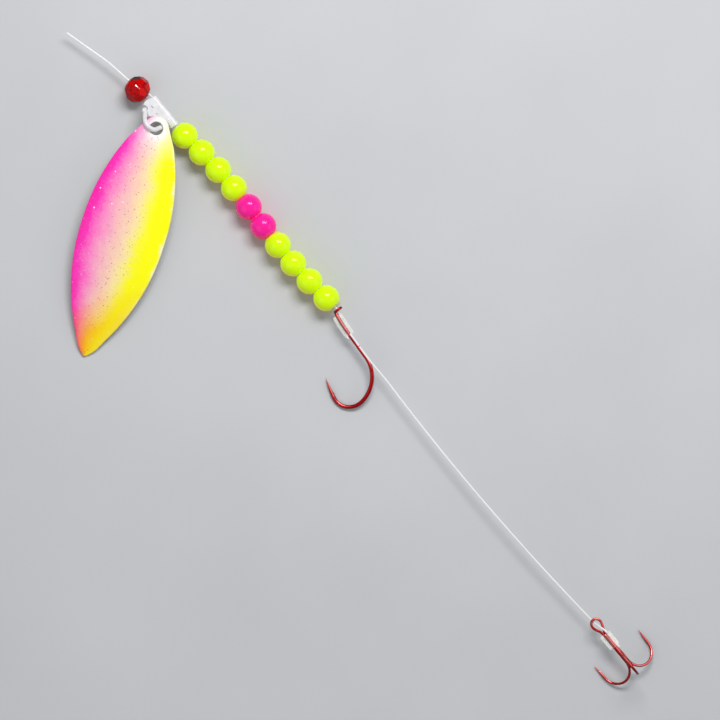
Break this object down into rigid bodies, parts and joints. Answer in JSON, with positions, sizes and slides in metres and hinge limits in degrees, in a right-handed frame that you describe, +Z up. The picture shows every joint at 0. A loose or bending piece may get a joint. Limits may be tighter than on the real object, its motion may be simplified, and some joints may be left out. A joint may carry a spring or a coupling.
{
  "type": "spinner rig",
  "caption": "Two-hook trolling spinner rig: a painted willow-leaf blade on a snap clevis, round body beads, a front octopus hook and a trailing treble on clear line.",
  "frame": {"origin": "centre of the cut front end of the leader, on the line's axis", "axes": "+X forward along the rig towards the leader's cut end, +Y towards the side the blade lies on, +Z up from the flat surface the rig lies on"},
  "size_m": [0.1958, 0.0541, 0.0119],
  "materials": {
    "clear_line": "clear nylon monofilament",
    "ruby_bead": "transparent red, faceted and polished",
    "milky_plastic": "milky translucent moulded plastic",
    "blade_paint": "pink to pearl to yellow sprayed fade with fine glitter under clear coat",
    "chartreuse_bead": "glossy fluorescent chartreuse",
    "pink_bead": "glossy fluorescent hot pink",
    "red_lacquer": "translucent red lacquer over bright steel wire",
    "clear_vinyl": "clear soft vinyl sleeve"
  },
  "bodies": {
    "leader": {"leader_line": "clear_line"},
    "front_bead": {"front_bead": "ruby_bead"},
    "clevis": {"clevis_body": "milky_plastic"},
    "snap_arm": {"clevis_snap_arm": "milky_plastic"},
    "blade": {"blade": "blade_paint"},
    "bead_01": {"bead_01": "chartreuse_bead"},
    "bead_02": {"bead_02": "chartreuse_bead"},
    "bead_03": {"bead_03": "chartreuse_bead"},
    "bead_04": {"bead_04": "chartreuse_bead"},
    "bead_05": {"bead_05": "pink_bead"},
    "bead_06": {"bead_06": "pink_bead"},
    "bead_07": {"bead_07": "chartreuse_bead"},
    "bead_08": {"bead_08": "chartreuse_bead"},
    "bead_09": {"bead_09": "chartreuse_bead"},
    "bead_10": {"bead_10": "chartreuse_bead"},
    "front_hook": {"octopus_hook": "red_lacquer", "octopus_snell": "clear_line", "octopus_sleeve": "clear_vinyl"},
    "trailer_front": {"trailer_line_front": "clear_line"},
    "trailer_rear": {"trailer_line_rear": "clear_line"},
    "treble": {"treble_double_hook": "red_lacquer", "treble_single_hook": "red_lacquer", "treble_snell": "clear_line", "treble_sleeve": "clear_vinyl"}
  },
  "joints": [
    {"name": "front_bead_slide", "type": "slide", "parent": "leader", "child": "front_bead", "axis": [0.9833, 0.1822, 0], "range_m": [0, 0.005]},
    {"name": "clevis_spin", "type": "hinge", "parent": "leader", "child": "clevis", "pos_m": [-0.02402, -0.00497, 0], "axis": [0.9995, -0.0314, 0], "continuous": true},
    {"name": "snap_arm_open", "type": "hinge", "parent": "clevis", "child": "snap_arm", "pos_m": [-0.03111, -0.00398, 0.00072], "axis": [-0.1896, -0.7155, -0.6724], "range_deg": [0, 30]},
    {"name": "blade_swing", "type": "hinge", "parent": "clevis", "child": "blade", "pos_m": [-0.03009, -0.0009, 0.00362], "axis": [0.0138, -0.0232, 0.9996], "range_deg": [-18, 5]},
    {"name": "bead_01_spin", "type": "hinge", "parent": "leader", "child": "bead_01", "pos_m": [-0.03538, -0.0047, 0], "axis": [0.9997, 0.0262, 0], "continuous": true},
    {"name": "bead_02_spin", "type": "hinge", "parent": "leader", "child": "bead_02", "pos_m": [-0.04084, -0.00507, 0], "axis": [0.9986, 0.0532, 0], "continuous": true},
    {"name": "bead_03_spin", "type": "hinge", "parent": "leader", "child": "bead_03", "pos_m": [-0.0463, -0.00528, 0], "axis": [0.9999, 0.0148, 0], "continuous": true},
    {"name": "bead_04_spin", "type": "hinge", "parent": "leader", "child": "bead_04", "pos_m": [-0.05177, -0.00524, 0], "axis": [0.9996, -0.0299, 0], "continuous": true},
    {"name": "bead_05_spin", "type": "hinge", "parent": "leader", "child": "bead_05", "pos_m": [-0.05724, -0.00496, 0], "axis": [0.9981, -0.062, 0], "continuous": true},
    {"name": "bead_06_spin", "type": "hinge", "parent": "leader", "child": "bead_06", "pos_m": [-0.06269, -0.00456, 0], "axis": [0.9977, -0.0679, 0], "continuous": true},
    {"name": "bead_07_spin", "type": "hinge", "parent": "leader", "child": "bead_07", "pos_m": [-0.06815, -0.00421, 0], "axis": [0.999, -0.0452, 0], "continuous": true},
    {"name": "bead_08_spin", "type": "hinge", "parent": "leader", "child": "bead_08", "pos_m": [-0.07362, -0.00406, 0], "axis": [1, -0.0034, 0], "continuous": true},
    {"name": "bead_09_spin", "type": "hinge", "parent": "leader", "child": "bead_09", "pos_m": [-0.07909, -0.00417, 0], "axis": [0.9992, 0.0398, 0], "continuous": true},
    {"name": "bead_10_spin", "type": "hinge", "parent": "leader", "child": "bead_10", "pos_m": [-0.08455, -0.0045, 0], "axis": [0.9996, 0.0279, 0], "continuous": true},
    {"name": "front_hook_flex", "type": "hinge", "parent": "leader", "child": "front_hook", "pos_m": [-0.08828, -0.00474, 0], "axis": [0, 0, 1], "range_deg": [-30, 30]},
    {"name": "trailer_flex", "type": "hinge", "parent": "front_hook", "child": "trailer_front", "pos_m": [-0.10014, -0.00311, -0.00011], "axis": [-0.0941, -0.9956, 0], "range_deg": [-35, 35]},
    {"name": "trailer_mid_flex", "type": "hinge", "parent": "trailer_front", "child": "trailer_rear", "pos_m": [-0.13576, -0.001, 0.00026], "axis": [0, 0, 1], "range_deg": [-40, 40]},
    {"name": "treble_flex", "type": "hinge", "parent": "trailer_rear", "child": "treble", "pos_m": [-0.17938, -0.00151, 0.00015], "axis": [0, 0, 1], "range_deg": [-35, 35]}
  ]
}
